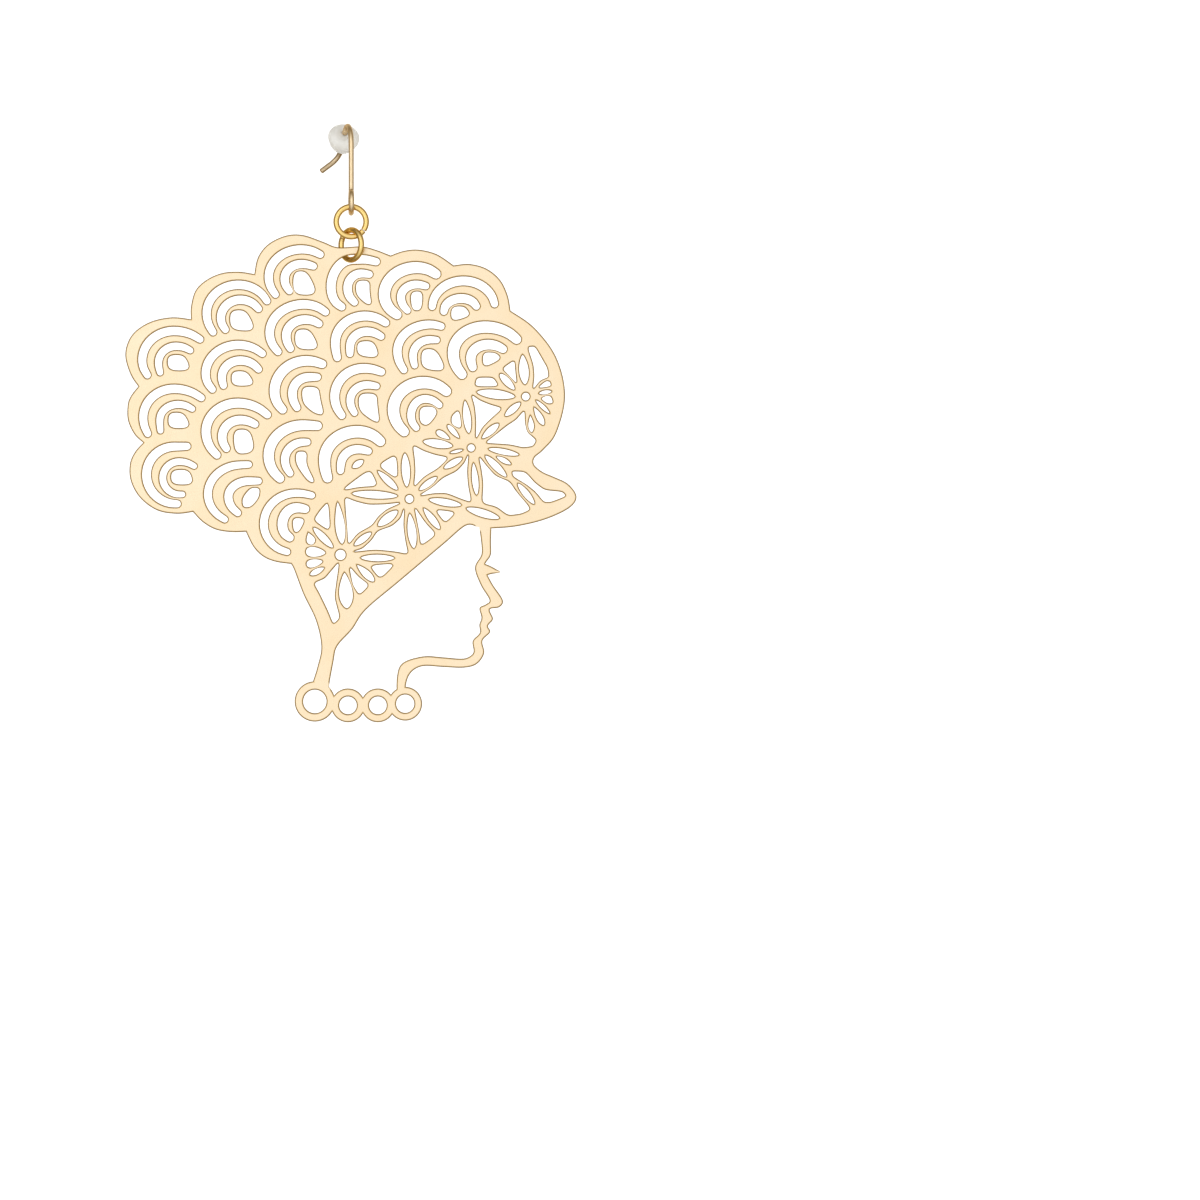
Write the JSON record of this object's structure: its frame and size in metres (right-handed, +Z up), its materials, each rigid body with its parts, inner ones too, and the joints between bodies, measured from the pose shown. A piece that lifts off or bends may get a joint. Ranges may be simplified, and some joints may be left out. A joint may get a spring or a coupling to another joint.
{
  "type": "fish hook earring",
  "caption": "Fish hook drop earring: bent ear wire with a soft stopper, linked jump rings and a large flat pierced plate, a head in profile with scale-patterned hair and a flowered scarf.",
  "frame": {"origin": "inside top of the ear wire's crown, where the earring hangs in the ear", "axes": "+Z up along the hanging earring, -Y towards the viewer of the plate's front, +X to the right of the plate seen from the front, where the face looks"},
  "size_m": [0.0694, 0.0112, 0.0926],
  "materials": {
    "gold_wire": "polished gold plate",
    "gold_rings": "polished gold plate",
    "gold_plate": "satin pale gold plate with polished edges",
    "silicone": "clear white silicone, semi-gloss"
  },
  "bodies": {
    "hook": {"ear_hook": "gold_wire", "stopper": "silicone"},
    "top_link": {"upper_ring": "gold_rings"},
    "bottom_link": {"lower_ring": "gold_rings"},
    "drop": {"pendant": "gold_plate"}
  },
  "joints": [
    {"name": "side_sway", "type": "hinge", "parent": "hook", "child": "top_link", "pos_m": [0, 0, -0.01321], "axis": [-0.0872, 0.9962, 0], "range_deg": [-45, 45]},
    {"name": "link_swing", "type": "hinge", "parent": "top_link", "child": "bottom_link", "pos_m": [0, 0, -0.01684], "axis": [0.9239, 0.3827, 0], "range_deg": [-45, 45]},
    {"name": "plate_swing", "type": "hinge", "parent": "bottom_link", "child": "drop", "pos_m": [0, 0, -0.02042], "axis": [0.7071, -0.7071, 0], "range_deg": [-25, 25]}
  ]
}
